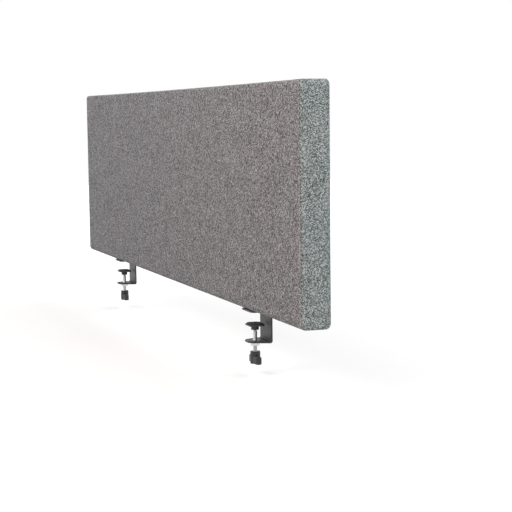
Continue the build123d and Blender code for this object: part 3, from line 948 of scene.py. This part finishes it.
# %% Closing strip
strip_past, strip_thickness, strip_rows, strip_columns = 3 * mm, 0.6 * mm, 9, 320
strip_low, strip_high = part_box("closing_strip")
strip_low.x, strip_high.x = -hem_end - strip_past, hem_end + strip_past
strip_x = np.linspace(strip_low.x, strip_high.x, strip_columns)
strip_y = np.linspace(strip_low.y, strip_high.y, strip_rows)[:, None]
strip_points = listed(strip_x, strip_y, strip_low.z)
strip_faces = grid_faces(strip_rows, strip_columns)[:, ::-1]
closing_strip = new_piece("closing_strip_cloth", strip_points, strip_faces, strip_points[:, :2])
lining_black = plain_finish("lining black", (0.022, 0.022, 0.024), 0.9, 1500.0, 0.35, 0.3, (1, 2, 1))
thicken(closing_strip, strip_thickness)
dress(closing_strip, lining_black, "screen", "closing_strip")
print("strip", round(strip_high.x - strip_low.x, 3), "m")

# %% [markdown]
# The clamps' hard parts are small, so their finish is in the gloss: zinc plating dulls in patches,
# powder coat is a fine orange peel, plastic and rubber are duller. Each could have its own tree,
# but the foam's finish, finer and with less relief, does for all.

# %% Metal, plastic and rubber
zinc = plain_finish("zinc plate", (0.60, 0.61, 0.63), 0.34, 160.0, 0.1, 0.02, metallic=1.0)
brass = plain_finish("turned brass", (0.75, 0.58, 0.28), 0.3, 240.0, 0.1, 0.02, metallic=1.0)
wire = plain_finish("staple wire", (0.62, 0.62, 0.60), 0.4, 500.0, 0.12, 0.02, metallic=1.0)
powder_coat = plain_finish("powder coat", (0.020, 0.020, 0.021), 0.46, 1400.0, 0.25, 0.06)
knob_plastic = plain_finish("knob plastic", (0.018, 0.018, 0.019), 0.5, 2600.0, 0.3, 0.04)
pad_plastic = plain_finish("pad plastic", (0.030, 0.030, 0.031), 0.55, 2600.0, 0.3, 0.04)
pad_rubber = plain_finish("pad rubber", (0.030, 0.030, 0.030), 0.8, 1800.0, 0.3, 0.05)
print("hard finishes:", zinc.name, "and six more")

# %% [markdown]
# The clamp screws are turned bars with a rolled thread, which the solid leaves out. Blender's
# Screw modifier could wind a tooth round a line, but leaves its ends open. Here a profile is
# turned round the axis, with the thread as a mere change of radius, so the screw is closed.

# %% Clamp screws
thread_pitch, thread_depth, stem_radius = 1.25 * mm, 0.7 * mm, 4 * mm
button_radius, button_height = 4.5 * mm, 5.4 * mm
neck_radius, neck_reach = 2.6 * mm, 4.3 * mm
ease, round_points, rings_to_a_pitch = 0.5 * mm, 40, 10


def turned_screw(name, node):
    """Rings of height z and radius r, from the button down; on the thread
    r = stem - depth * |2 * fraction(z / pitch + turn) - 1|, eased in over one pitch."""
    low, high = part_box(node)
    centre = (low + high) / 2
    top, foot = high.z, low.z
    neck_top, stem_top = top - button_height, top - button_height - neck_reach
    core = stem_radius - thread_depth
    head = np.array([
        (0, top), (button_radius - ease, top), (button_radius, top - ease),
        (button_radius, neck_top + ease), (button_radius - ease, neck_top),
        (neck_radius, neck_top), (neck_radius, stem_top + ease / 2),
        (neck_radius + ease / 2, stem_top), (core, stem_top),
    ])
    stem_z = np.arange(stem_top, foot, -thread_pitch / rings_to_a_pitch)
    rings_r = np.concatenate([head[:, 0], np.full(len(stem_z), stem_radius), [core, 0]])
    rings_z = np.concatenate([head[:, 1], stem_z, [foot, foot]])
    r, z, turn = rings_r[:, None], rings_z[:, None], np.arange(round_points) / round_points
    saw = np.abs(2 * ((z / thread_pitch + turn) % 1) - 1)
    entry = np.clip((stem_top - z) / thread_pitch, 0, 1)
    r = np.where(r == stem_radius, r - thread_depth * (1 - (1 - saw) * entry), r)
    x, y = centre.x + r * np.cos(2 * pi * turn), centre.y + r * np.sin(2 * pi * turn)
    points = listed(x, y, z)
    faces = face_outwards(points, grid_faces(*r.shape, close=True))
    return weld(new_piece(name, points, faces))


for side in ("left", "right"):
    screw = turned_screw(f"clamp_screw_{side}_threaded", f"clamp_screw_{side}")
    dress(screw, zinc, f"{side}_spindle", f"clamp_screw_{side}")
    print("screw", side, len(screw.data.polygons), "faces")

# %% [markdown]
# The frame's wood shows its grain along each piece. Growth rings could be cut from nested
# cylinders, but thin pieces show only streaks of them, so stretched noise pushed through a wave
# does. The tenons are paler and closer, and the board is pressed fibre, brown and even.

# %% Wood
pine = (0.62, 0.44, 0.26)


def wood(name, color, along, ring_scale=55.0):
    """Streaked wood: noise that is stretched about fifteen times along the grain, folded by a
    sine into early and late wood, with a finer streak on top."""
    material, wires, shader = new_material(name)
    squeeze = tuple(0.07 if axis == along else 1.0 for axis in "xyz")
    place = wires.add("Mapping", {"Vector": wires.here(), "Scale": squeeze})
    rings = wires.math("SINE", wires.times(wires.noise(place, ring_scale), 40.0))
    streak = wires.noise(place, 900.0, 3.0, 0.6)
    tone = wires.plus(wires.times(rings, 0.22), wires.times(streak, 0.5, 0.25))
    late, early = shade(color, 0.72), shade(color, 1.15)
    wires.fill(shader, {
        "Base Color": wires.blend(wires.smooth(tone, 0.15, 0.85), late, early),
        "Roughness": wires.smooth(streak, 0.3, 0.7, 0.6, 0.75), "Normal": wires.bump(tone, 0.1 * mm),
    })
    return material


rail_wood, stile_wood = wood("softwood along", pine, "x"), wood("softwood upright", pine, "z")
tenon_wood = wood("tenon wood", (0.68, 0.50, 0.33), "z", 120.0)
hardboard = plain_finish("hardboard", (0.26, 0.15, 0.08), 0.7, 700.0, 0.25, 0.1)
print("woods:", [m.name for m in (rail_wood, stile_wood, tenon_wood, hardboard)])

# %% [markdown]
# What is rigid has the right shape in the frame, from the rails to the staples. It could be
# modelled again, but would only differ from the checked shape, so it just gets its finish.

# %% Finishes of the rigid solids
finishes = {
    "frame_top_rail": rail_wood, "frame_bottom_rail": rail_wood, "frame_tenons": tenon_wood,
    "septum_board": hardboard, "hem_staples": wire, "threaded_inserts": brass,
    "bracket_screws": zinc, "clamp_nuts": zinc,
}
for side in ("left", "right"):
    finishes |= {
        f"frame_{side}_stile": stile_wood, f"batten_front_{side}": stile_wood,
        f"batten_rear_{side}": stile_wood, f"clamp_bracket_{side}": powder_coat,
        f"clamp_knob_{side}": knob_plastic, f"clamp_pad_cup_{side}": pad_plastic,
        f"clamp_pad_rubber_{side}": pad_rubber,
    }
for node, material in finishes.items():
    give(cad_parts[node], material)
print("finished solids:", len(finishes))

# %% [markdown]
# The screen stands free, 20 mm above a plain white floor. More light could whiten the background,
# but would bleach the cloth. So the floor shines a little for the camera alone, more so further
# off, and keeps the shadow. From below it is clear.

# %% Floor
floor_level, floor_half = cad_low.z - 20 * mm, 7.0


def seen(wires):
    """1 for what the camera sees, straight or in a reflection, and 0 for light."""
    path = wires.add("LightPath").node.outputs
    indirect = wires.math("MAXIMUM", path["Is Glossy Ray"], path["Is Transmission Ray"])
    return wires.math("MAXIMUM", path["Is Camera Ray"], indirect)


sides = np.array([-floor_half, floor_half])
floor = new_piece("floor", listed(sides, sides[:, None], floor_level), grid_faces(2, 2))
floor_white, wires, shader = new_material("floor white")
floor_white.node_tree.nodes.remove(shader)
away = wires.vector("LENGTH", wires.here(), out=1)
glow = wires.times(seen(wires), wires.smooth(away, 0.8, 3.5, 0.40, 0.95))
lit = wires.add("BsdfDiffuse", {"Color": (0.6, 0.6, 0.6, 1)})
lift = wires.add("Emission", {"Strength": glow})
both = wires.add("AddShader", {0: lit, 1: lift})
clear = wires.add("BsdfTransparent")
from_below = wires.add("NewGeometry").node.outputs["Backfacing"]
whole = wires.add("MixShader", {0: from_below, 1: both, 2: clear})
wires.fill(floor_white.node_tree.nodes["Material Output"], {"Surface": whole})
give(floor, floor_white)
print("floor at", round(floor_level, 4), "m")

# %% [markdown]
# Soft light comes from everywhere, as between white walls. A picture of a room could give it, but
# an even world needs no file. At this level a colour renders about as written, and only the camera
# sees full white.

# %% World
world_level = 0.58
scene.world = world = bpy.data.worlds.new("studio")
world.use_nodes = True
wires = Wires(world.node_tree)
world_light = wires.smooth(seen(wires), 0.0, 1.0, world_level, 1.0)
background = world.node_tree.nodes["Background"]
wires.fill(background, {"Color": (1, 1, 1, 1), "Strength": world_light})
print("world", world_level)

# %% [markdown]
# Two long strips hang above front and rear and a lamp stands off each end, so no side is dull, and
# a small warm lamp gives the front its warmer tone near the camera. One big lamp would be simpler,
# but leaves the far side flat.

# %% Lamps


def lamp(name, place, aim, length, width, power, color=(1, 1, 1)):
    """A soft rectangular lamp that looks at a point, its length lying level."""
    light = bpy.data.lights.new(name, "AREA")
    light.shape, light.size, light.size_y = "RECTANGLE", length, width
    light.energy, light.color = power, color
    fixture = bpy.data.objects.new(name, light)
    facing = (Vector(place) - Vector(aim)).to_track_quat("Z", "Y").to_matrix()
    fixture.matrix_world = Matrix.Translation(place) @ facing.to_4x4()
    scene.collection.objects.link(fixture)
    return fixture


lamps = [
    lamp("front strip", (-0.3, -1.3, 1.1), (-0.3, 0.0, 0.25), 3.4, 0.6, 15.5),
    lamp("warm lamp", (1.2, -1.2, 1.0), (0.7, 0.0, 0.2), 0.8, 0.6, 7.2, (1.0, 0.70, 0.58)),
    lamp("rear strip", (-0.1, 1.3, 1.1), (-0.1, 0.0, 0.25), 3.4, 0.6, 18.5),
    lamp("right lamp", (2.3, 0.0, 1.0), (0.8, 0.0, 0.25), 1.0, 0.6, 12.0),
    lamp("left lamp", (-2.3, 0.0, 1.0), (-0.8, 0.0, 0.25), 1.0, 0.6, 12.0),
]
print("lamps:", [one.name for one in lamps])

# %% [markdown] That is the whole scene.
